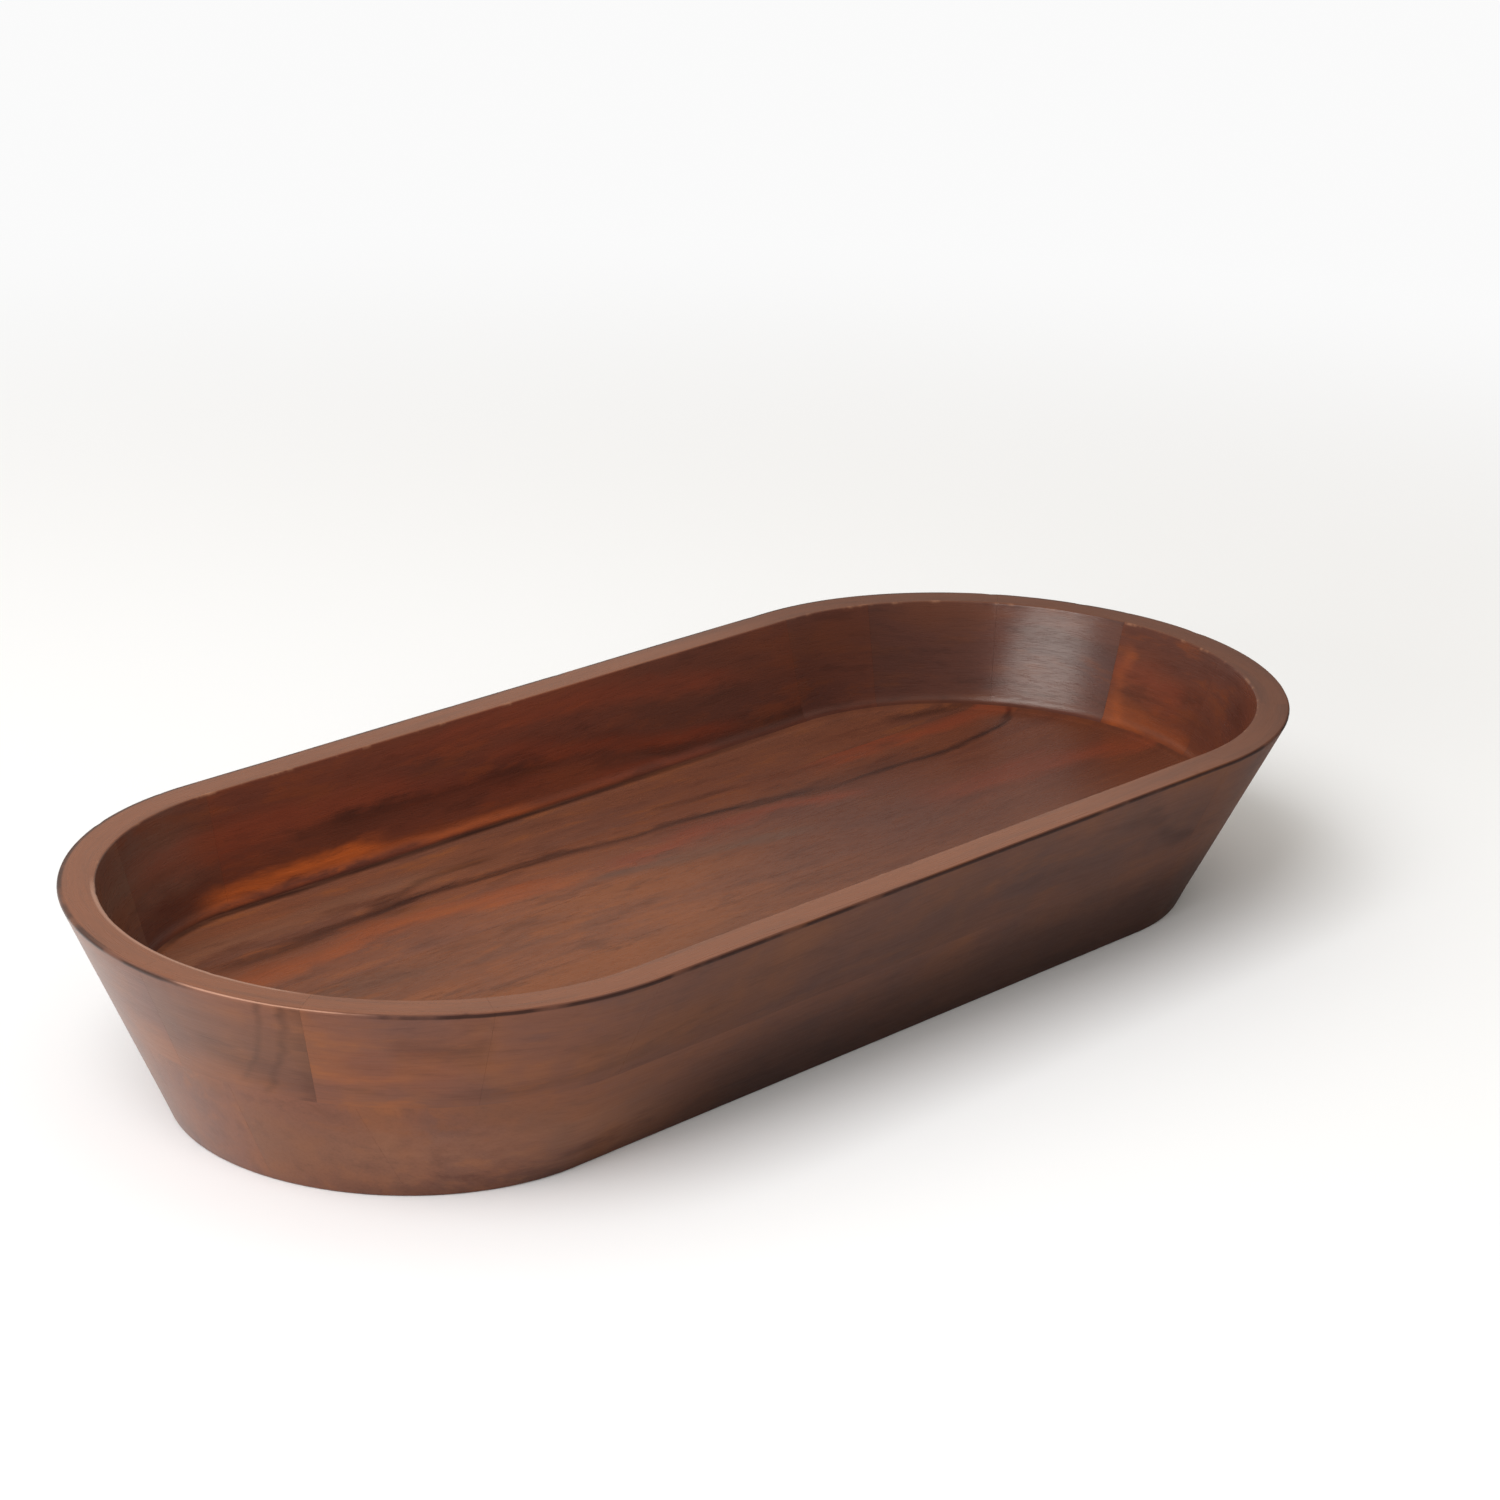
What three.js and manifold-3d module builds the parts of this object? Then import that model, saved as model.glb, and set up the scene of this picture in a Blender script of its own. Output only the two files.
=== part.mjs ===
// A long wooden bowl: a lower layer of edge-glued boards carries a wall ring of two straight rails and
// mitred end blocks, and the glued-up blank is then shaped outside and routed hollow.
// Millimetres, +Z up. X runs along the bowl, and the origin is the middle of its flat underside.

import * as THREE from 'three';
import { mergeVertices } from 'three/addons/utils/BufferGeometryUtils.js';
import Module from 'manifold-3d';

const wasm = await Module();
wasm.setup();

// Overall form
const length = 460;
const width = 200;
const baseLayer = 34;
const wallLayer = 34;

// Section of the wall
const outerLean = 25;
const innerLean = 17;
const rimWidth = 10.8;
const floorCut = 1;
const coveRadius = 6;
const rimEase = 0.9;
const footEase = 1.2;

// How the wood is divided and glued
const boardCount = 5;
const boardWidth = 34;
const blocksPerEnd = 6;
const leftSeamTurn = 0;
const rightSeamTurn = 7;
const glueLine = 0.3;
const blankAllowance = 3;

// Facets of the round stretches
const endFacets = 72;
const easeSteps = 3;
const coveSteps = 5;

// Finish
const satin = 0.45;
const boardTones = ['#6d4030', '#7d4d39', '#744433', '#86523a', '#693c2d'];
const railTone = '#5f3729';
const blockTones = ['#7b4d3b', '#8a5642', '#6c4131', '#905c47', '#744736', '#66392a'];

const radians = THREE.MathUtils.degToRad;
const endRadius = width / 2;
const straight = length - width;
const height = baseLayer + wallLayer;
const floorLevel = baseLayer - floorCut;
const rimOverrun = rimEase * (Math.tan(radians(outerLean)) + 1 / Math.cos(radians(outerLean)) - 1);
const sharpRim = endRadius + rimOverrun;
const footRadius = sharpRim - height * Math.tan(radians(outerLean));
const hollowTop = endRadius - rimWidth;
const hollowFoot = hollowTop - (height - floorLevel) * Math.tan(radians(innerLean));

// Arc that rounds the corner of a section between its two neighbours
function roundedCorner(before, corner, after, radius, steps) {
  const back = before.clone().sub(corner).normalize();
  const ahead = after.clone().sub(corner).normalize();
  const half = Math.acos(back.dot(ahead)) / 2;
  const centre = back.clone().add(ahead).normalize().multiplyScalar(radius / Math.sin(half)).add(corner);
  const first = back.multiplyScalar(radius / Math.tan(half)).add(corner).sub(centre);
  const last = ahead.multiplyScalar(radius / Math.tan(half)).add(corner).sub(centre);
  const sweep = Math.atan2(first.cross(last), first.dot(last));
  const origin = new THREE.Vector2();
  return Array.from({ length: steps + 1 }, (_, i) =>
    first.clone().rotateAround(origin, (sweep * i) / steps).add(centre));
}

// Half section of the bowl, from the underside's middle round the wall to the floor's middle.
// The outer rim's corner is drawn past the true width by what its rounding takes off.
function wallSection() {
  const underside = new THREE.Vector2(0, 0);
  const foot = new THREE.Vector2(footRadius, 0);
  const outerRim = new THREE.Vector2(sharpRim, height);
  const innerRim = new THREE.Vector2(hollowTop, height);
  const hollow = new THREE.Vector2(hollowFoot, floorLevel);
  const floor = new THREE.Vector2(0, floorLevel);
  return [
    underside,
    ...roundedCorner(underside, foot, outerRim, footEase, easeSteps),
    ...roundedCorner(foot, outerRim, innerRim, rimEase, easeSteps),
    ...roundedCorner(outerRim, innerRim, hollow, rimEase, easeSteps),
    ...roundedCorner(innerRim, hollow, floor, coveRadius, coveSteps),
    floor,
  ];
}

// Closed solid of a geometry, with shared corners merged and collapsed triangles left out
function solidOf(geometry) {
  geometry.deleteAttribute('normal');
  geometry.deleteAttribute('uv');
  const merged = mergeVertices(geometry);
  const corners = merged.index.array;
  const triangles = [];
  for (let i = 0; i < corners.length; i += 3) {
    const [a, b, c] = corners.slice(i, i + 3);
    if (a !== b && b !== c && c !== a) triangles.push(a, b, c);
  }
  const vertProperties = new Float32Array(merged.attributes.position.array);
  return new wasm.Manifold(new wasm.Mesh({ numProp: 3, vertProperties, triVerts: new Uint32Array(triangles) }));
}

// The whole bowl: its section turned once round, then pulled apart into straight sides.
// The flats of the facets lie on the true outline, so the facets take nothing off the length and width.
function shapedBowl() {
  const step = (2 * Math.PI) / endFacets;
  const section = wallSection().map((p) => new THREE.Vector2(p.x / Math.cos(step / 2), p.y));
  const turned = new THREE.LatheGeometry(section, endFacets, step / 2);
  turned.rotateX(Math.PI / 2);
  const place = turned.attributes.position;
  for (let i = 0; i < place.count; i += 1) {
    const x = place.getX(i);
    place.setX(i, x + (Math.sign(x) * straight) / 2);
  }
  return solidOf(turned);
}

// Sawn board between two corners
function sawnBoard(low, high) {
  const size = high.clone().sub(low);
  const board = new THREE.BoxGeometry(size.x, size.y, size.z);
  board.translate((low.x + high.x) / 2, (low.y + high.y) / 2, (low.z + high.z) / 2);
  return solidOf(board);
}

// Base board between two lengthwise seams
function baseBoardBlank(index) {
  const middle = (index - (boardCount - 1) / 2) * boardWidth;
  const isFirst = index === 0;
  const isLast = index === boardCount - 1;
  const front = isFirst ? -endRadius : middle - boardWidth / 2 + glueLine / 2;
  const back = isLast ? endRadius : middle + boardWidth / 2 - glueLine / 2;
  return sawnBoard(
    new THREE.Vector3(-length / 2 - blankAllowance, front, -blankAllowance),
    new THREE.Vector3(length / 2 + blankAllowance, back, baseLayer - glueLine / 2),
  );
}

// Straight rail of the wall, on the front (-1) or the back (+1) side
function railBlank(side) {
  const ends = straight / 2 - glueLine / 2;
  const edges = [0, side * (endRadius + blankAllowance)];
  return sawnBoard(
    new THREE.Vector3(-ends, Math.min(...edges), baseLayer + glueLine / 2),
    new THREE.Vector3(ends, Math.max(...edges), height + blankAllowance),
  );
}

// Mitred block of an end between two seam angles, with half a glue line left off each mitre
function blockBlank(centreX, from, to) {
  const half = radians(to - from) / 2;
  const middle = radians(from + to) / 2;
  const apex = glueLine / 2 / Math.sin(half);
  const reach = (endRadius + blankAllowance) / Math.cos(radians(180 / endFacets)) / Math.cos(half) + apex;
  const corner = (along, turn) => new THREE.Vector2(
    centreX + apex * Math.cos(middle) + along * Math.cos(turn),
    apex * Math.sin(middle) + along * Math.sin(turn),
  );
  const outline = new THREE.Shape([corner(0, middle), corner(reach, middle - half), corner(reach, middle + half)]);
  const depth = wallLayer - glueLine / 2 + blankAllowance;
  const wedge = new THREE.ExtrudeGeometry(outline, { depth, bevelEnabled: false });
  wedge.translate(0, 0, baseLayer + glueLine / 2);
  return solidOf(wedge);
}

// Seam angles of an end, from the front rail round to the back rail, counted from the bowl's long axis
function seamAngles(turn) {
  const pitch = 180 / blocksPerEnd;
  return Array.from({ length: blocksPerEnd + 1 }, (_, i) => {
    const isRail = i === 0 || i === blocksPerEnd;
    return -90 + i * pitch + (isRail ? 0 : turn);
  });
}

const bowl = shapedBowl();
const assembly = new THREE.Group();

// Names a piece of the bowl, the part of the shaped form that lies in its blank
function addPiece(name, blank, color) {
  const cut = bowl.intersect(blank).getMesh();
  const geometry = new THREE.BufferGeometry();
  geometry.setAttribute('position', new THREE.BufferAttribute(cut.vertProperties, 3));
  geometry.setIndex(new THREE.BufferAttribute(cut.triVerts, 1));
  geometry.computeVertexNormals();
  const material = new THREE.MeshStandardMaterial({ color, roughness: satin, metalness: 0 });
  const mesh = new THREE.Mesh(geometry, material);
  mesh.name = name;
  assembly.add(mesh);
}

for (let i = 0; i < boardCount; i += 1) {
  addPiece(`base_board_${i + 1}`, baseBoardBlank(i), boardTones[i % boardTones.length]);
}

addPiece('front_side_rail', railBlank(-1), railTone);
addPiece('back_side_rail', railBlank(1), railTone);

const rightSeams = seamAngles(rightSeamTurn);
const leftSeams = seamAngles(leftSeamTurn);
for (let i = 0; i < blocksPerEnd; i += 1) {
  const tone = blockTones[i % blockTones.length];
  const right = blockBlank(straight / 2, rightSeams[i], rightSeams[i + 1]);
  const left = blockBlank(-straight / 2, 180 - leftSeams[i + 1], 180 - leftSeams[i]);
  addPiece(`right_end_block_${i + 1}`, right, tone);
  addPiece(`left_end_block_${i + 1}`, left, tone);
}

export default assembly;
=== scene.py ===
"""A long wooden bowl, glued up from boards, rails and end blocks, on a pale studio floor."""

from math import acos, atan2, cos, pi, radians, sin, tan

import bmesh
import bpy
from mathutils import Matrix, Vector, noise


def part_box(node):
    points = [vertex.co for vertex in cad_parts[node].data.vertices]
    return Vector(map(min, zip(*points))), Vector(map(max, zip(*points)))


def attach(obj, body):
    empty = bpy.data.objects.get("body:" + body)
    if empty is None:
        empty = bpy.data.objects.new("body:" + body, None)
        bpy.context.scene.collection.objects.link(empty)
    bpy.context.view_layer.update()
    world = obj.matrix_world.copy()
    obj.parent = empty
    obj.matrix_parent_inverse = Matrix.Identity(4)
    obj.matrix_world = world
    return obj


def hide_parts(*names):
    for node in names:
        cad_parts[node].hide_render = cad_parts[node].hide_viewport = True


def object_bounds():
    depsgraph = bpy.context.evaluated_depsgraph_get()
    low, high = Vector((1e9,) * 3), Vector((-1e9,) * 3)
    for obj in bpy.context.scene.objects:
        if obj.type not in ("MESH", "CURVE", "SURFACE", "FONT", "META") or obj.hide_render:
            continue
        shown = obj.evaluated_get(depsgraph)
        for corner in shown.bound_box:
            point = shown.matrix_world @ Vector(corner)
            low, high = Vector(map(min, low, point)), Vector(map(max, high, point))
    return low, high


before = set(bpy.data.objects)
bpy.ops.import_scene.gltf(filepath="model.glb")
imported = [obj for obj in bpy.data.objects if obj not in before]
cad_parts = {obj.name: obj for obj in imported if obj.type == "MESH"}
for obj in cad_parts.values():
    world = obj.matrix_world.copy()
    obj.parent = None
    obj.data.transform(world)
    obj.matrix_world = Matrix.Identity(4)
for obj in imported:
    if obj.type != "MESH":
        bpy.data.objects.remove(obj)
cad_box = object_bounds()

# Sizes taken from the frame, in metres
half_length = cad_box[1][0]
end_radius = cad_box[1][1]
height = cad_box[1][2]
end_centre = half_length - end_radius
glue_plane = (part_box("base_board_3")[1][2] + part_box("front_side_rail")[0][2]) / 2

# Section of the wall
outer_lean = radians(25)
inner_lean = radians(17)
rim_width = 0.0108
floor_drop = 0.001
floor_level = glue_plane - floor_drop
cove_radius = 0.006
rim_ease = 0.0009
foot_ease = 0.0012

# The same sizes in millimetres, for the materials
mm = 1000
end_centre_mm = end_centre * mm
end_radius_mm = end_radius * mm
inner_edge_mm = (end_radius - rim_width) * mm
outer_foot_mm = (end_radius - height * tan(outer_lean)) * mm
cove_inset_mm = 22.9
cove_line_mm = end_radius_mm - cove_inset_mm
rim_mm = height * mm
floor_mm = floor_level * mm

# Hand sanding and wear
sanding_depth = 0.0002
sanding_waves = 28
sanding_starts = 0.006
nick_depth = 0.0004
nick_waves = 190
nick_starts = 0.3

# Glue seams
board_count = 5
board_width = 0.034
blocks_per_end = 6
left_seam_turn = 0
right_seam_turn = 7
hairline = 0.00004

# Fineness of the meshes
end_cells = 180
straight_cells = 104
run_cells = [6, 14, 4, 8, 8]
foot_steps = 5
rim_steps = 6
cove_steps = 10
merge_distance = 1e-7
cut_tolerance = 1e-8

# Tones of the stained wood in 0 to 255 values. Inside they go piece by piece from the front to the back.
outer_tone = (109, 69, 53)
board_tones = [(118, 69, 45), (120, 70, 45), (122, 71, 46), (121, 71, 49), (120, 72, 51)]
front_tone = (110, 64, 43)
back_tone = (104, 52, 36)
left_tones = [(114, 66, 44), (116, 67, 44), (116, 68, 45), (114, 66, 46), (112, 67, 50), (99, 52, 37)]
right_tones = [(98, 54, 39), (96, 51, 36), (94, 49, 34), (87, 49, 39), (87, 49, 39), (95, 51, 38)]
rim_tone = (133, 81, 55)
right_rim_tone = (106, 65, 47)

# How the figure of the wood scales its tone
plain = (1, 1, 1, 1)
warm = (1.22, 1.14, 0.88, 1)
cool = (0.8, 0.9, 1.08, 1)
smoky = (0.62, 0.7, 0.8, 1)
dim = (0.55, 0.55, 0.6, 1)
outer_calm = 0.4
rim_dull = (0.6, 0.74, 0.97, 1)

# Layers of the figure: waves in a metre along and across the grain, detail and roughness
layers = {
    "cloud": ((9, 42, 42), 3, 0.5),
    "smoke": ((16, 26, 26), 2, 0.5),
    "patch": ((34, 150, 150), 4, 0.65),
    "streak": ((12, 230, 230), 3, 0.6),
    "fine": ((60, 1300, 1300), 2, 0.6),
    "pores": ((170, 3600, 3600), 1, 0.5),
}

# Tints in turn: the layer, the levels where the tint starts and is full, its colour and its strength
tints = [
    ("cloud", 0.5, 0.66, warm, 1.0),
    ("cloud", 0.48, 0.34, cool, 1.0),
    ("patch", 0.5, 0.68, warm, 1.0),
    ("patch", 0.48, 0.34, dim, 0.5),
    ("smoke", 0.5, 0.7, smoky, 0.4),
    ("streak", 0.52, 0.8, dim, 0.4),
]

# Bends of the grain, blotches of the outside, uneven lines of the rim's edges, and pores
bend_waves = (6, 16, 16)
bend_depth = 0.008
blotch_waves = 34
blotch_strength = 0.7
stain_waves = (50, 50, 20)
stain_over = 0.8
wear_waves = (160, 160, 40)
fine_strength = 0.2
fine_height = 0.5
fleck_strength = 0.12
fleck_height = -0.6
bump_strength = 0.2
bump_depth = 0.0003

# Colours of the marked streaks
# Dark of the heartwood streaks and of the rim's stained edge, also used for painted shade on the front and
# in the cove.
dark_heart_and_shade = (46, 24, 19)
# Painted shade of the floor.
floor_shade_red = (84, 42, 30)
heart_brown = (80, 49, 39)
sap_red = (134, 58, 34)
sap_orange = (160, 78, 34)
ash_grey = (92, 66, 54)
pale_ash = (116, 86, 72)
worn_brown = (142, 98, 74)
glow_orange = (186, 90, 38)
bare_edge = (172, 122, 92)
# Painted highlight on the rim's edges at the left end, with some wear on the outer one.
edge_highlight_and_wear = (174, 130, 108)

# Streaks and painted shade seen in the photograph: where they are measured, their course, half width, colour
# and strength
# The next three are painted shade: the outer front darker, its lower part darker still, and a painted shadow
# along its foot.
painted_front_shade = ("outer front", [(-170, 40), (210, 40)], 60, dark_heart_and_shade, 0.45)
painted_lower_shade = ("outer front", [(-150, 4), (0, 8), (300, 14)], 46, dark_heart_and_shade, 0.85)
painted_foot_shadow = ("outer front", [(-232, 0), (-150, 0), (330, 0)], 11, dark_heart_and_shade, 0.5)
# Painted shade: the floor darker towards the right.
painted_floor_shade = ("floor", [(-50, 0), (600, 0)], 130, floor_shade_red, 0.75)
dull_foot = ("outer end", [(-62, 14), (-20, 14), (80, 14)], 22, ash_grey, 0.45)
worn_foot = ("outer front", [(-222, 14), (-170, 17), (-130, 15), (-84, 10)], 15, worn_brown, 0.35)
olive_course = ("outer front", [(-185, 40), (-150, 24), (-132, 4)], 9, ash_grey, 0.25)
long_vein_course = [(-132, 46), (-92, 50), (-55, 49), (-23, 46), (5, 43), (40, 40), (76, 34), (105, 27)]
long_vein = ("floor", long_vein_course, 3.8, dark_heart_and_shade, 1.0)
end_vein_course = [(76, 29), (108, 30), (151, 29), (184, 34), (198, 43), (222, 60)]
orange_course = [(-200, 42), (-150, 34), (-129, 35), (-100, 38), (-57, 32), (-16, 28)]
grey_vein = ("floor", [(-40, 27), (-12, 22), (6, 19), (24, 16), (66, 9)], 6, ash_grey, 0.7)
glow = ("inner side", [(-146, 38), (-128, 38), (-104, 39), (-86, 39), (-60, 38)], 4.9, glow_orange, 1.0)
red_course = ("inner side", [(-190, 54), (-128, 54), (-76, 53), (-47, 50), (20, 43)], 9, sap_red, 0.5)
ashen_turn = ("inner end", [(4, 56), (45, 57), (92, 55)], 19, pale_ash, 0.8)
dark_turn = ("inner end", [(32, 48), (62, 48), (97, 48)], 50, dark_heart_and_shade, 0.32)
left_figure = [
    ("outer end", [(-62, 54), (-52, 55), (-42, 57)], 8, dark_heart_and_shade, 0.35),
    ("outer end", [(-58, 46), (-42, 47), (-28, 45)], 12, sap_orange, 0.1),
    ("outer end", [(-104, 41), (-76, 39), (-50, 37)], 3.5, dark_heart_and_shade, 0.3),
]
marks = {
    "base_board_5": [
        painted_floor_shade,
        long_vein,
        ("floor", [(-104, 51), (-83, 55), (-64, 60), (-34, 59)], 3.5, dark_heart_and_shade, 0.7),
        ("floor", [(26, 56), (45, 53), (70, 50)], 3, dark_heart_and_shade, 0.4),
        ("floor", [(-220, 58), (-150, 60), (-100, 61), (-40, 62)], 9, worn_brown, 0.35),
        ("floor", [(150, 62), (178, 57), (196, 48)], 6, dark_heart_and_shade, 0.6),
    ],
    "base_board_4": [
        painted_floor_shade,
        ("floor", orange_course, 8, sap_orange, 0.55),
        ("floor", [(-30, 28), (-5, 28), (29, 31), (64, 29), (104, 14)], 7, sap_red, 0.55),
        ("floor", [(-170, 45), (-137, 47), (-110, 48), (-76, 49)], 6, dark_heart_and_shade, 0.65),
        long_vein,
        grey_vein,
        ("floor", [(60, 37), (104, 32), (128, 31), (156, 32)], 10, dark_heart_and_shade, 0.35),
        ("floor", end_vein_course, 2.7, dark_heart_and_shade, 0.95),
        ("floor", [(90, 48), (137, 49), (174, 45), (220, 44)], 9, sap_red, 0.5),
    ],
    "base_board_3": [
        painted_floor_shade,
        painted_lower_shade,
        painted_foot_shadow,
        grey_vein,
        ("floor", [(90, 0), (165, -2), (186, -7), (250, -20)], 13, sap_red, 0.4),
    ],
    "base_board_2": [painted_floor_shade, dull_foot, worn_foot, painted_lower_shade, painted_foot_shadow],
    "base_board_1": [painted_floor_shade, dull_foot, worn_foot, olive_course, painted_lower_shade, painted_foot_shadow],
    "front_side_rail": left_figure + [
        painted_front_shade,
        ("outer front", [(80, 57), (103, 53), (115, 44), (132, 40)], 6, dark_heart_and_shade, 0.35),
    ],
    "back_side_rail": [
        ("inner side", [(20, 50), (260, 50)], 60, heart_brown, 0.45),
        red_course,
        ("inner side", [(-70, 62), (-18, 63), (19, 63), (55, 60), (116, 52)], 6, sap_red, 0.5),
        ("inner side", [(-100, 49), (-48, 47), (10, 46)], 6, dark_heart_and_shade, 0.55),
        ("inner side", [(-40, 52), (-3, 50), (33, 47), (77, 39), (170, 38)], 7, dark_heart_and_shade, 0.6),
        ("inner side", [(-30, 56), (0, 52), (42, 45), (110, 38)], 5, sap_red, 0.55),
        glow,
        ("inner side", [(-100, 39), (-59, 37), (-25, 36), (5, 35)], 2.8, glow_orange, 0.4),
        ("inner side", [(20, 38), (46, 36), (90, 35)], 3, sap_red, 0.35),
    ],
    "left_end_block_6": [ashen_turn, red_course, glow],
    "left_end_block_5": [ashen_turn],
    "left_end_block_4": [ashen_turn],
    "left_end_block_3": [
        ("outer upright", [(30, -18), (43, -23), (55, -26), (80, -27)], 1.6, dark_heart_and_shade, 0.5),
        ("outer upright", [(34, -13), (45, -19), (57, -22), (80, -23)], 1.2, dark_heart_and_shade, 0.4),
        ("outer upright", [(26, -29), (50, -30), (84, -30)], 4, dark_heart_and_shade, 0.4),
        ("outer end", [(-25, 46), (-16, 46), (-6, 48)], 6, dark_heart_and_shade, 0.35),
        ("outer end", [(-46, 38), (-30, 40), (-20, 43), (-10, 47)], 8, heart_brown, 0.5),
        ("outer end", [(-40, 52), (-18, 52), (10, 52)], 22, ash_grey, 0.45),
    ],
    "left_end_block_2": left_figure,
    "left_end_block_1": left_figure + [olive_course, painted_front_shade],
    "right_end_block_1": [painted_front_shade],
    "right_end_block_2": [painted_front_shade],
    "right_end_block_3": [
        painted_front_shade,
        ("inner upright", [(24, 4), (44, 4), (64, 4)], 3, sap_orange, 0.32),
        ("inner end", [(-28, 36), (-10, 37), (20, 38)], 6, sap_orange, 0.3),
        ("inner end", [(-18, 47), (-4, 50), (14, 52)], 9, sap_red, 0.25),
    ],
    "right_end_block_4": [dark_turn],
    "right_end_block_5": [dark_turn],
    "right_end_block_6": [dark_turn],
}

# Narrow streaks wander with the grain, by a share of their half width up to a limit. All fade at their ends.
soft_from = 20
wander_share = 2.4
wander_limit = 10
streak_end = 0.2

# Angles round the left end between which the rim's edges get painted highlights; the outer one is also
# rubbed bare
highlight_outer_arc = (-38, -9)
highlight_inner_arc = (-27, 38)
highlight_outer_strength = 0.8
highlight_inner_strength = 0.7
arc_soft = 5

# Places on the bowl where one look eases into the next, in millimetres
left_end = (-150, -140)
front_face = (-66, -12)
back_face = (0, 30)
right_front = (60, 200)
right_rim = (40, 200)
left_cove = (-180, -130)
right_cove = (0, 140)

# Half widths of the dark line of painted shade and of the dull strip in the cove
cove_shade_width = 1.5
cove_dull_width = 2.8

# Slanted edge of the polished patch inside the right end, in degrees round it
patch_lean = 0.3
patch_edge = (46.5, 53.5)

# Seeds of the figure, which runs on from piece to piece except at the seams that show
board_seed = 3
ring_seed = 12
odd_blocks = {"left_end_block_3": 31, "right_end_block_3": 33, "right_end_block_2": 33}
seed_shift = (0.731, 0.417, 0.293)

# Specular level of the inside, piece by piece from the front to the back
board_sheen = [0.2, 0.2, 0.22, 0.25, 0.25]
front_sheen = 0.2
back_sheen = 0.25
left_sheen = [0.2, 0.25, 0.35, 0.4, 0.3, 0.25]
right_sheen = [0.3, 0.3, 0.3, 0.52, 0.52, 0.42]

# Specular level and roughness elsewhere. The outside shines at its left end, up to a slanted edge.
shine_slant = (1000, -300, 400)
shine_edge = (-222, -165)
shine_level = 0.55
front_level = 0.16
right_level = 0.1
rim_level = 0.3
right_rim_level = 0.2
cove_share = 0.15
dull_share = 0.38
polished_rough = 0.24
matt_rough = 0.6
right_rim_rough = 0.45
fine_rough = 0.08
finish_tint = (1, 0.93, 0.84, 1)

# Studio
paper_white = (0.95, 0.95, 0.95, 1)
paper_rough = 0.9
paper_level = 0.2
studio_white = (0.96, 0.96, 0.96, 1)
dome_colour = (0.99, 0.955, 0.895, 1)
lamp_colour = (0.95, 0.97, 1)
shadow_reach = 0.45
fade_width = 0.6
bright_side = Vector((-0.3, 0.28, 0.91))
bright_level = 0.65
dim_level = 0.28
dome_turn = (-0.4, 0.7)
overhead_place = (-2.13, -0.35, 2.68)
overhead_size = (2.0, 2.0)
overhead_watts = 74
panel_place = (-1.36, -0.29, 0.32)
panel_target = (0.21, 0.04, 0.05)
panel_size = (0.9, 0.56)
panel_watts = 10
floor_reach = 8

# Camera of the photograph, in its own 1500 pixel frame
frame_pixels = 1500
focal_pixels = 4133
camera_azimuth = radians(-47.88)
camera_elevation = radians(22.89)
camera_distance = 1.3002
aim_right = radians(0.42)
aim_up = radians(3.15)
camera_roll = radians(2.47)
sensor_width = 36


# Form of the bowl

def rounded_corner(before, corner, after, radius, steps):
    """Points of the arc that rounds a corner of the section."""
    back = (before - corner).normalized()
    ahead = (after - corner).normalized()
    half = acos(back.dot(ahead)) / 2
    centre = corner + (back + ahead).normalized() * (radius / sin(half))
    first = corner + back * (radius / tan(half)) - centre
    last = corner + ahead * (radius / tan(half)) - centre
    sweep = atan2(first.x * last.y - first.y * last.x, first.dot(last))
    points = []
    for i in range(steps + 1):
        turn = sweep * i / steps
        points.append(centre + Matrix.Rotation(turn, 2) @ first)
    return points


def wall_section():
    """Half section from the underside's middle, round the wall, to the floor's middle.

    Each point comes with how much wear it has, which is only at the edges of the rim.
    """
    overrun = rim_ease * (tan(outer_lean) + 1 / cos(outer_lean) - 1)
    sharp_rim = end_radius + overrun
    hollow_top = end_radius - rim_width
    underside = Vector((0, 0))
    foot = Vector((sharp_rim - height * tan(outer_lean), 0))
    outer_rim = Vector((sharp_rim, height))
    inner_rim = Vector((hollow_top, height))
    hollow = Vector((hollow_top - (height - floor_level) * tan(inner_lean), floor_level))
    floor = Vector((0, floor_level))
    corners = [
        (rounded_corner(underside, foot, outer_rim, foot_ease, foot_steps), 0),
        (rounded_corner(foot, outer_rim, inner_rim, rim_ease, rim_steps), 1),
        (rounded_corner(outer_rim, inner_rim, hollow, rim_ease, rim_steps), 1),
        (rounded_corner(inner_rim, hollow, floor, cove_radius, cove_steps), 0),
        ([floor], 0),
    ]
    section = [(underside, 0)]
    for cells, (arc, wear) in zip(run_cells, corners):
        start = section[-1][0]
        section += [(start.lerp(arc[0], (i + 1) / cells), 0) for i in range(cells - 1)]
        section += [(point, wear) for point in arc]
    return section


def outline_stations():
    """Stations round the stadium: the middle of the arc they turn about, and the way outward.

    They lie half a step off the seams, so each seam cuts flat faces and the shading runs on across it.
    """
    ends = [-pi / 2 + pi * (i + 0.5) / end_cells for i in range(end_cells)]
    straights = [end_centre * (1 - 2 * (i + 0.5) / straight_cells) for i in range(straight_cells)]
    stations = [(end_centre, a) for a in ends]
    stations += [(x, pi / 2) for x in straights]
    stations += [(-end_centre, a + pi) for a in ends]
    stations += [(-x, 3 * pi / 2) for x in straights]
    return stations


def sanded(place, wear):
    """How far hand sanding and wear have taken the surface back at a place."""
    lifted = min(1, place.z / sanding_starts)
    wave = sanding_depth * lifted * (0.5 + 0.5 * noise.noise(place * sanding_waves))
    nick = nick_depth * wear * max(0, noise.noise(place * nick_waves) - nick_starts)
    return wave + nick


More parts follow.
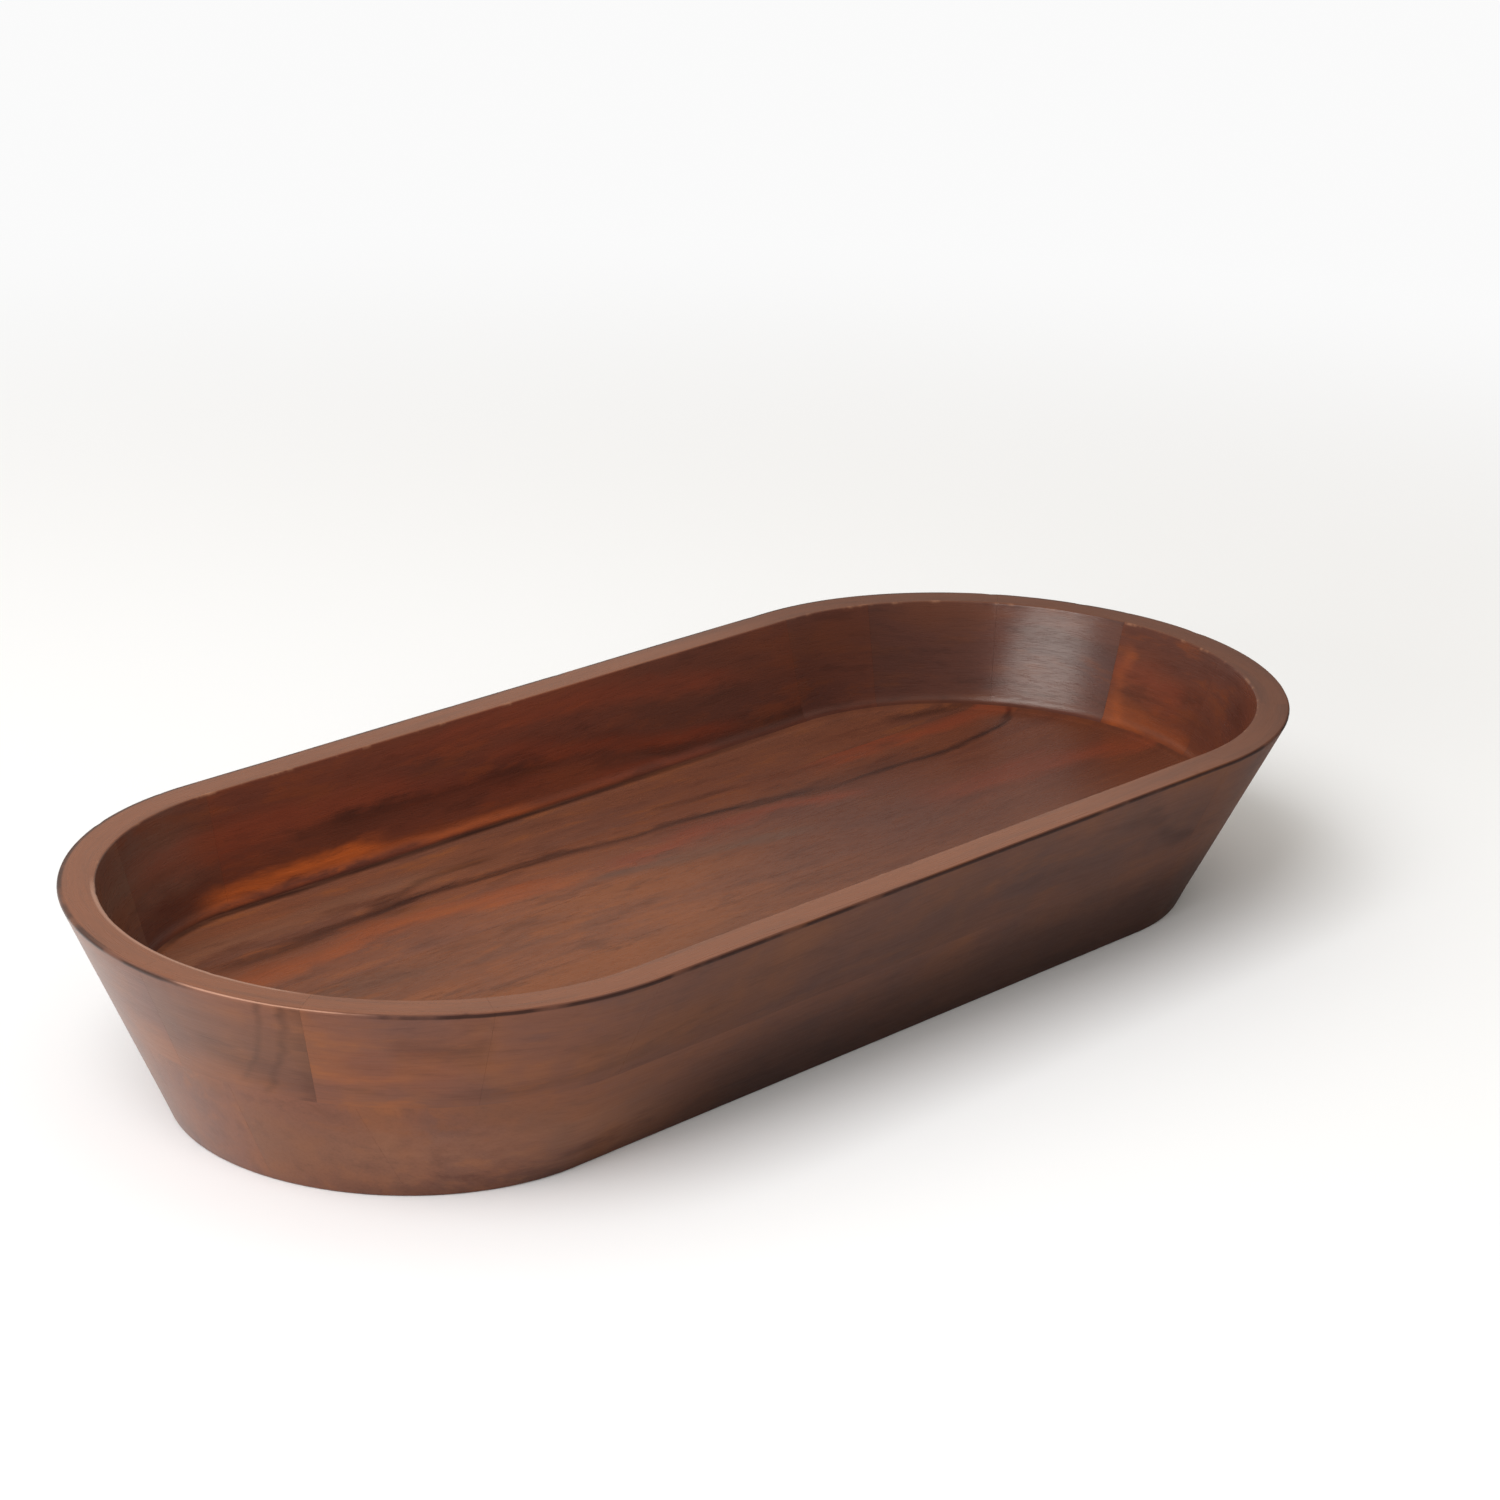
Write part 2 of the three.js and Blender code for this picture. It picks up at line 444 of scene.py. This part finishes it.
def bowl_mesh():
    """The whole shaped bowl as one closed fine mesh, before it is parted at the glue seams."""
    form = bmesh.new()
    section = wall_section()
    points = [p for p, wear in section]
    ways = [(b - a).normalized() for a, b in zip(points[:1] + points, points[1:] + points[-1:])]
    columns = []
    for x, turn in outline_stations():
        column = []
        for (point, wear), way in zip(section, ways):
            place = Vector((x + point.x * cos(turn), point.x * sin(turn), point.y))
            outward = Vector((way.y * cos(turn), way.y * sin(turn), -way.x))
            column.append(form.verts.new(place - outward * sanded(place, wear)))
        columns.append(column)
    for here, following in zip(columns, columns[1:] + columns[:1]):
        for i in range(len(section) - 1):
            form.faces.new((here[i], following[i], following[i + 1], here[i + 1]))
    bmesh.ops.remove_doubles(form, verts=form.verts[:], dist=merge_distance)
    bmesh.ops.recalc_face_normals(form, faces=form.faces[:])
    for face in form.faces:
        face.smooth = True
    return form


def part_at(form, point, outward):
    """Cuts the form at a plane, drops what lies outward of it and closes the cut with a flat face."""
    everything = form.verts[:] + form.edges[:] + form.faces[:]
    cut = bmesh.ops.bisect_plane(form, geom=everything, dist=cut_tolerance, plane_co=point,
                                 plane_no=outward, clear_outer=True)
    rim = [e for e in cut["geom_cut"] if isinstance(e, bmesh.types.BMEdge)]
    filled = bmesh.ops.holes_fill(form, edges=rim, sides=0)
    for face in filled["faces"]:
        face.smooth = False
        for edge in face.edges:
            edge.smooth = False


shaped_bowl = bowl_mesh()


def make_piece(name, planes, material):
    """One glued piece of the bowl: the shaped form between the given seam planes."""
    form = shaped_bowl.copy()
    for point, outward in planes:
        part_at(form, Vector(point), Vector(outward))
    mesh = bpy.data.meshes.new(name)
    form.to_mesh(mesh)
    form.free()
    piece = bpy.data.objects.new(name + "_wood", mesh)
    bpy.context.collection.objects.link(piece)
    mesh.materials.append(material)
    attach(piece, "root")
    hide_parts(name)


# Node building

class Graph:
    """Short way to write a material's nodes."""

    def __init__(self, name):
        self.material = bpy.data.materials.new(name)
        self.material.use_nodes = True
        self.tree = self.material.node_tree
        self.shader = self.tree.nodes["Principled BSDF"]

    @classmethod
    def of_world(cls, name):
        """The same for the nodes of a new world."""
        graph = cls.__new__(cls)
        world = bpy.data.worlds.new(name)
        bpy.context.scene.world = world
        world.use_nodes = True
        graph.tree = world.node_tree
        return graph

    def set(self, socket, value):
        """Links an output to a socket, or gives it a plain value."""
        if isinstance(value, bpy.types.NodeSocket):
            self.tree.links.new(value, socket)
        else:
            socket.default_value = value

    def node(self, kind, out=0, sockets=None, **settings):
        """Adds a node and gives back one of its outputs."""
        made = self.tree.nodes.new("ShaderNode" + kind)
        for key, value in settings.items():
            setattr(made, key, value)
        for key, value in (sockets or {}).items():
            self.set(made.inputs[key], value)
        return made.outputs[out]

    def math(self, operation, *values):
        return self.node("Math", operation=operation, sockets=dict(enumerate(values)))

    def times(self, first, *others):
        """Product of all the values."""
        for other in others:
            first = self.math("MULTIPLY", first, other)
        return first

    def vector(self, operation, *values):
        return self.node("VectorMath", operation=operation, sockets=dict(enumerate(values)))

    def measure(self, operation, *values):
        """Vector operation that gives one number."""
        return self.vector(operation, *values).node.outputs["Value"]

    def join(self, x, y, z):
        return self.node("CombineXYZ", sockets={0: x, 1: y, 2: z})

    def noise(self, vector, scale=1.0, detail=2.0, rough=0.5):
        sockets = {"Vector": vector, "Scale": scale, "Detail": detail, "Roughness": rough}
        return self.node("TexNoise", sockets=sockets)

    def ease(self, value, low, high, start=0.0, end=1.0):
        """Goes smoothly from start to end as the value goes from low to high."""
        sockets = {0: value, 1: low, 2: high, 3: start, 4: end}
        return self.node("MapRange", interpolation_type="SMOOTHSTEP", sockets=sockets)

    def fade(self, value, low, high):
        """Goes smoothly from 1 to 0."""
        return self.ease(value, low, high, start=1.0, end=0.0)

    def band(self, value, low, low_full, high_full, high):
        """Is 1 in the middle of a band and goes smoothly to 0 at both limits."""
        return self.times(self.ease(value, low, low_full), self.fade(value, high_full, high))

    def between(self, share, start, end):
        """Value between two others, by a share from 0 to 1."""
        return self.ease(share, 0.0, 1.0, start=start, end=end)

    def mix(self, factor, first, second, blend="MIX"):
        """First colour, with the second laid over it."""
        sockets = {0: factor, 6: first, 7: second}
        return self.node("Mix", out=2, data_type="RGBA", blend_type=blend, sockets=sockets)


# Wood

def srgb(red, green, blue):
    """Colour given in the photograph's own 0 to 255 values."""
    def linear(v):
        v /= 255
        return v / 12.92 if v <= 0.04045 else ((v + 0.055) / 1.055) ** 2.4
    return (linear(red), linear(green), linear(blue), 1)


class Spot:
    """Where a shaded point lies on the bowl, in millimetres and degrees."""

    def __init__(self, g):
        self.place = g.node("TexCoord", out="Object")
        in_mm = g.vector("MULTIPLY", self.place, (mm, mm, mm))
        self.x, self.y, self.z = g.node("SeparateXYZ", sockets={0: in_mm}).node.outputs
        past = g.math("SUBTRACT", g.math("ABSOLUTE", self.x), end_centre_mm)
        outward = g.join(g.math("MAXIMUM", past, 0.0), self.y, 0.0)
        self.reach = g.measure("LENGTH", outward)
        angle = g.math("ARCTAN2", self.y, past)
        self.turn = g.math("DEGREES", angle)
        round_start = (end_centre + end_radius * pi / 2) * mm
        self.round = g.math("MULTIPLY_ADD", angle, -end_radius_mm, round_start)
        slant = g.math("MULTIPLY_ADD", self.z, -tan(outer_lean), self.reach)
        self.outside = g.ease(slant, outer_foot_mm - 3, outer_foot_mm - 1)
        flat = g.ease(self.z, rim_mm - 0.4, rim_mm - 0.1)
        inward = g.fade(self.reach, end_radius_mm - 1.0, end_radius_mm - 0.5)
        self.on_rim = g.times(flat, inward)
        inside = g.math("SUBTRACT", 1.0, self.outside)
        front = g.times(self.outside, g.fade(self.y, *front_face))
        self.frames = {
            "floor": (self.x, self.y, inside),
            "inner side": (self.x, self.z, inside),
            "inner end": (self.turn, self.z, inside),
            "inner upright": (self.z, self.turn, inside),
            "outer front": (self.x, self.z, front),
            "outer end": (self.turn, self.z, self.outside),
            "outer upright": (self.z, self.turn, self.outside),
        }


def mark(g, along, across, points, width):
    """How much a soft streak through the given points covers a spot, from 0 to 1."""
    start = points[0][0]
    end = points[-1][0]
    low = min(p[1] for p in points) - 1
    high = max(p[1] for p in points) + 1
    course = [((p[0] - start) / (end - start), (p[1] - low) / (high - low)) for p in points]
    step = g.node("MapRange", sockets={0: along, 1: start, 2: end})
    run = g.node("FloatCurve", sockets={"Value": step})
    line = run.node.mapping.curves[0]
    for place in course[1:-1]:
        line.points.new(*place)
    line.points[0].location = course[0]
    line.points[-1].location = course[-1]
    run.node.mapping.update()
    middle = g.node("MapRange", sockets={0: run, 3: low, 4: high})
    off = g.math("ABSOLUTE", g.math("SUBTRACT", across, middle))
    ends = g.band(step, 0.0, streak_end, 1.0 - streak_end, 1.0)
    return g.times(g.fade(off, 0.0, width), ends)


def board_grain(g, spot):
    """Straight grain along the bowl's length."""
    return g.join(spot.x, spot.y, spot.z)


def front_grain(g, spot):
    """Grain of the front rail, going on from where the left end's grain comes round to it."""
    along = g.math("SUBTRACT", (-2 * end_centre - end_radius * pi) * mm, spot.x)
    return g.join(along, spot.reach, spot.z)


def back_grain(g, spot):
    """Grain of the back rail."""
    return g.join(spot.x, spot.reach, spot.z)


def right_grain(g, spot):
    """Grain that goes round the right end from the back rail."""
    return g.join(spot.round, spot.reach, spot.z)


def left_grain(g, spot):
    """Grain that goes round the left end from the back rail."""
    return g.join(g.math("MULTIPLY", spot.round, -1.0), spot.reach, spot.z)


def bent(g, grain, seed):
    """Grain coordinates in metres, gently bent, and moved apart from other pieces by the seed."""
    grain = g.vector("MULTIPLY", grain, (1 / mm, 1 / mm, 1 / mm))
    grain = g.vector("ADD", grain, tuple(seed * shift for shift in seed_shift))
    bend = g.noise(g.vector("MULTIPLY", grain, bend_waves), detail=2)
    bend = g.math("MULTIPLY_ADD", bend, 2 * bend_depth, -bend_depth)
    return g.vector("ADD", grain, g.join(0.0, bend, bend))


def left_arc(g, spot, low, high):
    """The left end between two angles round it, with soft limits."""
    arc = g.band(spot.turn, low - arc_soft, low + arc_soft, high - arc_soft, high + arc_soft)
    return g.times(g.fade(spot.x, *left_end), arc)


def arris_stain(g, spot, seed):
    """Dark, uneven stained line along the outer edge of the rim, which comes up over it at the back."""
    along = g.vector("ADD", g.vector("MULTIPLY", spot.place, stain_waves), (seed, 0, 0))
    uneven = g.ease(g.noise(along, detail=3), 0.36, 0.52, start=0.25, end=0.95)
    spared = g.math("SUBTRACT", 1.0, left_arc(g, spot, *highlight_outer_arc))
    rising = g.ease(spot.z, rim_mm - 1.7, rim_mm - 1.1)
    falling = g.fade(spot.z, rim_mm - 0.5, rim_mm - 0.15)
    over = g.ease(spot.y, *back_face, end=stain_over)
    under = g.times(rising, g.math("MAXIMUM", falling, over))
    outside = g.ease(spot.reach, end_radius_mm - 1.9, end_radius_mm - 1.1)
    return g.times(under, outside, g.times(uneven, spared))


def outer_edge_highlight(g, spot):
    """Painted highlight, with some wear, as a pale line on the outer edge of the rim at the left end."""
    high = g.ease(spot.z, rim_mm - 0.65, rim_mm - 0.35)
    outside = g.ease(spot.reach, end_radius_mm - 0.65, end_radius_mm - 0.35)
    cover = g.times(left_arc(g, spot, *highlight_outer_arc), highlight_outer_strength)
    return g.times(cover, g.times(high, outside))


def inner_edge_highlight(g, spot):
    """Painted highlight as a pale line on the inner edge of the rim at the left end."""
    high = g.ease(spot.z, rim_mm - 0.6, rim_mm - 0.3)
    narrow = g.fade(spot.reach, inner_edge_mm + 1.1, inner_edge_mm + 1.7)
    cover = g.times(left_arc(g, spot, *highlight_inner_arc), highlight_inner_strength)
    return g.times(cover, g.times(high, narrow))


def worn_edge(g, spot, seed):
    """Broken pale line along the inner edge of the rim, where the staining is rubbed off."""
    along = g.vector("ADD", g.vector("MULTIPLY", spot.place, wear_waves), (0, seed, 0))
    broken = g.ease(g.noise(along, detail=4), 0.54, 0.7, end=0.4)
    edge = inner_edge_mm
    near = g.band(spot.reach, edge - 0.4, edge, edge + 0.5, edge + 1.1)
    high = g.ease(spot.z, rim_mm - 1.2, rim_mm - 0.5)
    return g.times(near, high, broken)


def cove_cover(g, spot, width):
    """The cove at the foot of the inner wall, to the given half width."""
    off = g.math("ABSOLUTE", g.math("SUBTRACT", spot.reach, cove_line_mm))
    low = g.band(spot.z, floor_mm - 4, floor_mm - 2, floor_mm + 1.5, floor_mm + 4.5)
    return g.times(g.fade(off, 0.2, width), low)


def dull_cover(g, spot):
    """Share of the gloss left inside. It drops on the right end's wall, past a slanted edge."""
    past = g.ease(g.math("MULTIPLY_ADD", spot.z, patch_lean, spot.turn), *patch_edge)
    end = g.ease(spot.x, end_centre_mm - 10, end_centre_mm + 20)
    wall = g.ease(spot.z, floor_mm + 1, floor_mm + 4)
    cover = g.times(past, g.times(end, wall))
    return g.math("MULTIPLY_ADD", cover, -dull_share, 1.0)


def figured(g, spot, layer, tone):
    """The stained tone inside and outside, varied by the figure of the wood."""
    figure = plain
    for kind, start, full, tint, strength in tints:
        figure = g.mix(g.ease(layer[kind], start, full, end=strength), figure, tint)
    figure = g.mix(g.times(spot.outside, outer_calm), figure, plain)
    blotch = g.noise(spot.place, scale=blotch_waves, detail=3, rough=0.6)
    ruddy = g.times(spot.outside, g.ease(blotch, 0.5, 0.66, end=blotch_strength))
    sooty = g.times(spot.outside, g.ease(blotch, 0.5, 0.34, end=blotch_strength))
    figure = g.mix(ruddy, figure, warm, blend="MULTIPLY")
    figure = g.mix(sooty, figure, cool, blend="MULTIPLY")
    colour = g.mix(spot.outside, srgb(*tone), srgb(*outer_tone))
    return g.mix(1.0, colour, figure, blend="MULTIPLY")


def marked(g, spot, layer, name, colour):
    """The colour with the piece's own streaks and painted shade laid over it."""
    wander = g.math("SUBTRACT", layer["patch"], 0.5)
    rough_edge = g.ease(layer["streak"], 0.35, 0.65, start=1.0, end=0.6)
    for kind, points, width, paint, strength in marks.get(name, ()):
        along, across, side = spot.frames[kind]
        cover = g.times(side, strength)
        if width < soft_from:
            swing = min(width, wander_limit) * wander_share
            across = g.math("MULTIPLY_ADD", wander, swing, across)
            cover = g.times(cover, rough_edge)
        cover = g.times(cover, mark(g, along, across, points, width))
        colour = g.mix(cover, colour, srgb(*paint))
    return colour


def wear_and_painted_light(g, spot, layer, seed, colour):
    """The colour with the rubbed rim, the dark stained line and pale rubbed line along its edges, painted
    highlights on them at the left end, and painted shade in the cove.
    """
    streak = layer["streak"]
    rim = g.mix(g.ease(spot.x, *right_rim), srgb(*rim_tone), srgb(*right_rim_tone))
    rim = g.mix(g.ease(streak, 0.4, 0.8, end=0.5), rim, rim_dull, blend="MULTIPLY")
    colour = g.mix(spot.on_rim, colour, rim)
    colour = g.mix(arris_stain(g, spot, seed), colour, srgb(*dark_heart_and_shade))
    colour = g.mix(worn_edge(g, spot, seed), colour, srgb(*bare_edge))
    # Painted highlights on the rim's outer and inner edges at the left end.
    colour = g.mix(outer_edge_highlight(g, spot), colour, srgb(*edge_highlight_and_wear))
    colour = g.mix(inner_edge_highlight(g, spot), colour, srgb(*edge_highlight_and_wear))
    # Strength of the painted shade in the cove: stronger on the streaks, and weaker towards both ends.
    cove_shade = g.ease(streak, 0.3, 0.6, start=0.5, end=0.95)
    cove_shade = g.times(cove_shade, g.ease(spot.x, *right_cove, start=1.0, end=0.25))
    cove_shade = g.times(cove_shade, g.ease(spot.x, *left_cove, start=0.3))
    return g.mix(g.times(cove_cover(g, spot, cove_shade_width), cove_shade), colour, srgb(*dark_heart_and_shade))


def finish(g, spot, layer, sheen):
    """Specular level and roughness of the surface."""
    slant = g.measure("DOT_PRODUCT", spot.place, shine_slant)
    matt = g.ease(slant, *shine_edge)
    front_gloss = g.ease(spot.x, *right_front, start=front_level, end=right_level)
    outer_gloss = g.between(matt, shine_level, front_gloss)
    rim_gloss = g.ease(spot.x, *right_rim, start=rim_level, end=right_rim_level)
    gloss = g.between(spot.outside, g.times(dull_cover(g, spot), sheen), outer_gloss)
    gloss = g.between(spot.on_rim, gloss, rim_gloss)
    in_cove = cove_cover(g, spot, cove_dull_width)
    gloss = g.times(gloss, g.ease(in_cove, 0.0, 0.8, start=1.0, end=cove_share))
    outer_rough = g.between(matt, polished_rough, matt_rough)
    rim_rough = g.ease(spot.x, *right_rim, start=polished_rough, end=right_rim_rough)
    rough = g.between(spot.outside, polished_rough, outer_rough)
    rough = g.between(spot.on_rim, rough, rim_rough)
    rough = g.math("MULTIPLY_ADD", layer["fine"], fine_rough, rough)
    return gloss, rough


def wood(name, tone, sheen, grain, seed):
    """Stained hardwood with its tone and specular level inside, and the course of its grain."""
    g = Graph(name)
    spot = Spot(g)
    fibre = bent(g, grain(g, spot), seed)
    layer = {}
    for kind, (waves, detail, rough) in layers.items():
        layer[kind] = g.noise(g.vector("MULTIPLY", fibre, waves), detail=detail, rough=rough)
    colour = figured(g, spot, layer, tone)
    colour = marked(g, spot, layer, name, colour)
    colour = wear_and_painted_light(g, spot, layer, seed, colour)
    fleck = g.ease(layer["pores"], 0.55, 0.75)
    fine_cover = g.ease(layer["fine"], 0.4, 0.8, end=fine_strength)
    colour = g.mix(fine_cover, colour, dim, blend="MULTIPLY")
    colour = g.mix(g.times(fleck, fleck_strength), colour, dim, blend="MULTIPLY")
    relief = g.math("MULTIPLY_ADD", fleck, fleck_height, g.times(layer["fine"], fine_height))
    sockets = {"Strength": bump_strength, "Distance": bump_depth, "Height": relief}
    gloss, rough = finish(g, spot, layer, sheen)
    g.set(g.shader.inputs["Base Color"], colour)
    g.set(g.shader.inputs["Normal"], g.node("Bump", sockets=sockets))
    g.set(g.shader.inputs["Specular IOR Level"], gloss)
    g.set(g.shader.inputs["Specular Tint"], finish_tint)
    g.set(g.shader.inputs["Roughness"], rough)
    return g.material


# Pieces

def build_boards():
    """Lengthwise boards of the base layer, from the front to the back."""
    for i in range(board_count):
        name = "base_board_%d" % (i + 1)
        middle = (i - (board_count - 1) / 2) * board_width
        planes = []
        if i > 0:
            planes.append(((0, middle - board_width / 2 + hairline / 2, 0), (0, -1, 0)))
        if i < board_count - 1:
            planes.append(((0, middle + board_width / 2 - hairline / 2, 0), (0, 1, 0)))
        planes.append(((0, 0, glue_plane), (0, 0, 1)))
        material = wood(name, board_tones[i], board_sheen[i], board_grain, board_seed)
        make_piece(name, planes, material)


def build_rails():
    """Straight rails of the wall, front and back."""
    front = wood("front_side_rail", front_tone, front_sheen, front_grain, ring_seed)
    back = wood("back_side_rail", back_tone, back_sheen, back_grain, ring_seed)
    for name, side, material in (("front_side_rail", -1, front), ("back_side_rail", 1, back)):
        ends = end_centre - hairline / 2
        planes = [
            ((0, 0, 0), (0, -side, 0)),
            ((ends, 0, 0), (1, 0, 0)),
            ((-ends, 0, 0), (-1, 0, 0)),
            ((0, 0, glue_plane), (0, 0, -1)),
        ]
        make_piece(name, planes, material)


def build_blocks(end, side, seam_turn, tones, sheens, grain):
    """Mitred blocks of one end, from the front rail round to the back rail."""
    pitch = 180 / blocks_per_end
    seams = [-90 + i * pitch for i in range(blocks_per_end + 1)]
    seams[1:-1] = [a + seam_turn for a in seams[1:-1]]
    for i in range(blocks_per_end):
        name = "%s_end_block_%d" % (end, i + 1)
        centre = Vector((side * end_centre, 0, 0))
        planes = [((0, 0, glue_plane), (0, 0, -1))]
        for angle, way in ((seams[i], -1), (seams[i + 1], 1)):
            a = radians(angle)
            outward = Vector((-side * sin(a), cos(a), 0)) * way
            planes.insert(0, (centre - outward * hairline / 2, outward))
        seed = odd_blocks.get(name, ring_seed)
        make_piece(name, planes, wood(name, tones[i], sheens[i], grain, seed))


build_boards()
build_rails()
build_blocks("left", -1, left_seam_turn, left_tones, left_sheen, left_grain)
build_blocks("right", 1, right_seam_turn, right_tones, right_sheen, right_grain)


# Floor, light and camera

def floor_paper():
    """White paper that keeps the bowl's shadow and fades into the white of the studio further out."""
    g = Graph("floor_paper")
    g.set(g.shader.inputs["Base Color"], paper_white)
    g.set(g.shader.inputs["Roughness"], paper_rough)
    g.set(g.shader.inputs["Specular IOR Level"], paper_level)
    rays = g.node("LightPath").node.outputs
    seen = g.math("MAXIMUM", rays["Is Camera Ray"], rays["Is Glossy Ray"])
    seen = g.math("MAXIMUM", seen, rays["Is Transmission Ray"])
    distance = g.measure("LENGTH", g.node("TexCoord", out="Object"))
    faded = g.times(g.ease(distance, shadow_reach, shadow_reach + fade_width), seen)
    white = g.node("Emission", sockets={"Color": studio_white, "Strength": 1.0})
    blend = g.node("MixShader", sockets={0: faded, 1: g.shader.outputs[0], 2: white})
    g.set(g.tree.nodes["Material Output"].inputs["Surface"], blend)
    return g.material


def build_floor():
    """Plain pale floor."""
    mesh = bpy.data.meshes.new("floor")
    reach = floor_reach
    corners = [(-reach, -reach, 0), (reach, -reach, 0), (reach, reach, 0), (-reach, reach, 0)]
    mesh.from_pydata(corners, [], [(0, 1, 2, 3)])
    floor = bpy.data.objects.new("floor", mesh)
    bpy.context.collection.objects.link(floor)
    mesh.materials.append(floor_paper())


def softbox(name, place, target, size, watts):
    """Rectangular studio light aimed at a point."""
    lamp = bpy.data.lights.new(name, "AREA")
    lamp.shape = "RECTANGLE"
    lamp.size = size[0]
    lamp.size_y = size[1]
    lamp.energy = watts
    lamp.color = lamp_colour
    box = bpy.data.objects.new(name, lamp)
    box.location = place
    aim = Vector(target) - Vector(place)
    box.rotation_euler = aim.to_track_quat("-Z", "Y").to_euler()
    bpy.context.collection.objects.link(box)


def build_world():
    """Soft light all round that is stronger from behind and above the bowl."""
    g = Graph.of_world("studio")
    way = g.node("TexCoord", out="Generated")
    facing = g.measure("DOT_PRODUCT", way, bright_side)
    dome = g.ease(facing, *dome_turn, start=dim_level, end=bright_level)
    g.set(g.tree.nodes["Background"].inputs["Color"], dome_colour)
    g.set(g.tree.nodes["Background"].inputs["Strength"], dome)


def build_light():
    """A broad light high on the left, and a low panel beyond the bowl's left end."""
    build_world()
    softbox("overhead", overhead_place, (0, 0, 0), overhead_size, overhead_watts)
    softbox("left_panel", panel_place, panel_target, panel_size, panel_watts)


def build_camera():
    """Camera of the photograph: it aims a little off the bowl and is turned a little about its axis."""
    turn = Vector((sin(camera_azimuth), -cos(camera_azimuth), 0)) * cos(camera_elevation)
    back = turn + Vector((0, 0, sin(camera_elevation)))
    ahead = -back
    right = ahead.cross(Vector((0, 0, 1))).normalized()
    up = right.cross(ahead)
    view = (ahead + right * tan(aim_right) + up * tan(aim_up)).normalized()
    level = view.cross(Vector((0, 0, 1))).normalized()
    upright = level.cross(view)
    right = level * cos(camera_roll) + upright * sin(camera_roll)
    up = upright * cos(camera_roll) - level * sin(camera_roll)
    lens = bpy.data.cameras.new("camera")
    lens.sensor_width = sensor_width
    lens.lens = focal_pixels / frame_pixels * sensor_width
    camera = bpy.data.objects.new("camera", lens)
    axes = Matrix((right, up, -view)).transposed().to_4x4()
    camera.matrix_world = Matrix.Translation(back * camera_distance) @ axes
    bpy.context.collection.objects.link(camera)
    bpy.context.scene.camera = camera


build_floor()
build_light()
build_camera()
bpy.context.scene.view_settings.view_transform = "Standard"
